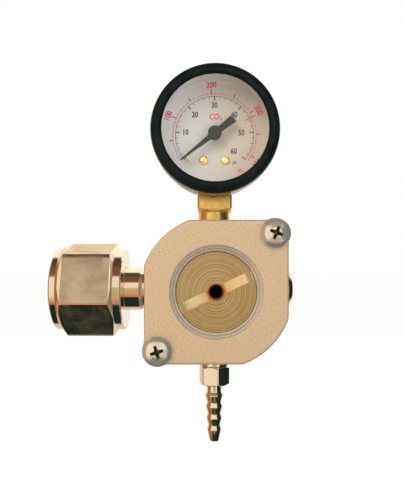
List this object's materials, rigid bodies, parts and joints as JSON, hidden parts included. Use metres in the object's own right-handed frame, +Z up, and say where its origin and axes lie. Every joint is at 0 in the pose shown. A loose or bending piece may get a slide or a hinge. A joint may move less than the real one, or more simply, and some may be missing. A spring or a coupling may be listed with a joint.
{
  "type": "carbon dioxide regulator",
  "caption": "Low-pressure gas regulator: cylinder nut, diaphragm valve body with slotted adjusting screw, dial pressure gauge, relief valve and hose barb.",
  "frame": {"origin": "centre of the inlet washer's outer face, on the axis of the cylinder nut", "axes": "-X out of the nut's mouth towards the cylinder valve, -Y the way the dial and the adjusting screw face, +Z up to the gauge"},
  "size_m": [0.0802, 0.0455, 0.1257],
  "materials": {
    "satin_casting": "satin",
    "polished_nickel": "polished",
    "plated_screw": "polished",
    "turned_brass": "satin",
    "plain_brass": "satin",
    "spring_steel": "satin",
    "rubber": "matte",
    "red_fibre": "matte",
    "white_nylon": "satin",
    "sintered_bronze": "matte",
    "phosphor_bronze": "satin",
    "black_gloss": "gloss",
    "case_lacquer": "satin",
    "gauge_glass": "gloss",
    "dial_face": "satin",
    "pointer_black": "satin"
  },
  "bodies": {
    "root": {"body": "satin_casting", "bonnet": "satin_casting", "bonnet_screw_upper": "plated_screw", "bonnet_screw_lower": "plated_screw", "range_spring": "spring_steel", "slip_ring": "spring_steel", "diaphragm": "rubber", "seat_nozzle": "plain_brass", "poppet_spring": "spring_steel", "inlet_nipple": "polished_nickel", "inlet_washer": "red_fibre", "inlet_filter": "sintered_bronze", "relief_housing": "polished_nickel", "relief_spring": "spring_steel", "relief_cap": "plain_brass", "hose_barb": "polished_nickel", "gauge_socket": "plain_brass", "gauge_case": "case_lacquer", "gauge_bezel": "black_gloss", "gauge_lens": "gauge_glass", "lens_gasket": "rubber", "gauge_dial": "dial_face", "stop_pin": "plain_brass", "dial_screw_left": "plain_brass", "dial_screw_right": "plain_brass", "case_screw_left": "plated_screw", "case_screw_right": "plated_screw", "movement_front_plate": "plain_brass", "movement_back_plate": "plain_brass", "movement_pillar_left": "plain_brass", "movement_pillar_right": "plain_brass", "hairspring": "phosphor_bronze", "bourdon_tube": "phosphor_bronze"},
    "nut": {"inlet_nut": "polished_nickel"},
    "thrust": {"thrust_washer": "spring_steel"},
    "adjuster": {"adjusting_screw": "turned_brass"},
    "valve": {"diaphragm_plate": "plain_brass", "valve_pin": "spring_steel", "poppet_seat": "white_nylon", "poppet": "plain_brass"},
    "relief": {"relief_poppet": "plain_brass"},
    "pointer": {"gauge_pointer": "pointer_black", "pointer_arbor": "plain_brass"},
    "sector": {"sector_gear": "plain_brass"},
    "link": {"tip_link": "plain_brass", "tube_tip": "plain_brass"}
  },
  "joints": [
    {"name": "nut_spin", "type": "hinge", "parent": "root", "child": "nut", "pos_m": [0, 0, 0], "axis": [1, 0, 0], "continuous": true},
    {"name": "screw_travel", "type": "slide", "parent": "root", "child": "thrust", "axis": [0, 1, 0], "range_m": [-0.00094, 0.00375], "deforming": ["range_spring"]},
    {"name": "screw_turn", "type": "hinge", "parent": "thrust", "child": "adjuster", "pos_m": [0.0413, 0, 0], "axis": [0, 1, 0], "range_deg": [-270, 1080]},
    {"name": "valve_stroke", "type": "slide", "parent": "root", "child": "valve", "axis": [0, 1, 0], "range_m": [0, 0.0008], "stiffness_N_per_m": 3000, "springref_m": -0.001, "deforming": ["diaphragm", "poppet_spring", "range_spring"]},
    {"name": "relief_lift", "type": "slide", "parent": "root", "child": "relief", "axis": [1, 0, 0], "range_m": [0, 0.0008], "stiffness_N_per_m": 2000, "springref_m": -0.002, "deforming": ["relief_spring"]},
    {"name": "pointer_turn", "type": "hinge", "parent": "root", "child": "pointer", "pos_m": [0.0413, 0, 0.0522], "axis": [0, 1, 0], "range_deg": [0, 256], "stiffness_Nm_per_rad": 0.0002, "springref_deg": -28.65, "deforming": ["hairspring", "bourdon_tube"]},
    {"name": "sector_turn", "type": "hinge", "parent": "root", "child": "sector", "pos_m": [0.0413, 0, 0.0432], "axis": [0, 1, 0], "range_deg": [-42.8, 0]},
    {"name": "link_swing", "type": "hinge", "parent": "sector", "child": "link", "pos_m": [0.04694, 0, 0.04114], "axis": [0, 1, 0], "range_deg": [0, 42.8]}
  ],
  "couplings": [
    {"joint": "screw_turn", "follows": "screw_travel", "rad_per_m": 5026.5},
    {"joint": "sector_turn", "follows": "pointer_turn", "ratio": -0.16667},
    {"joint": "link_swing", "follows": "pointer_turn", "ratio": 0.16667}
  ]
}
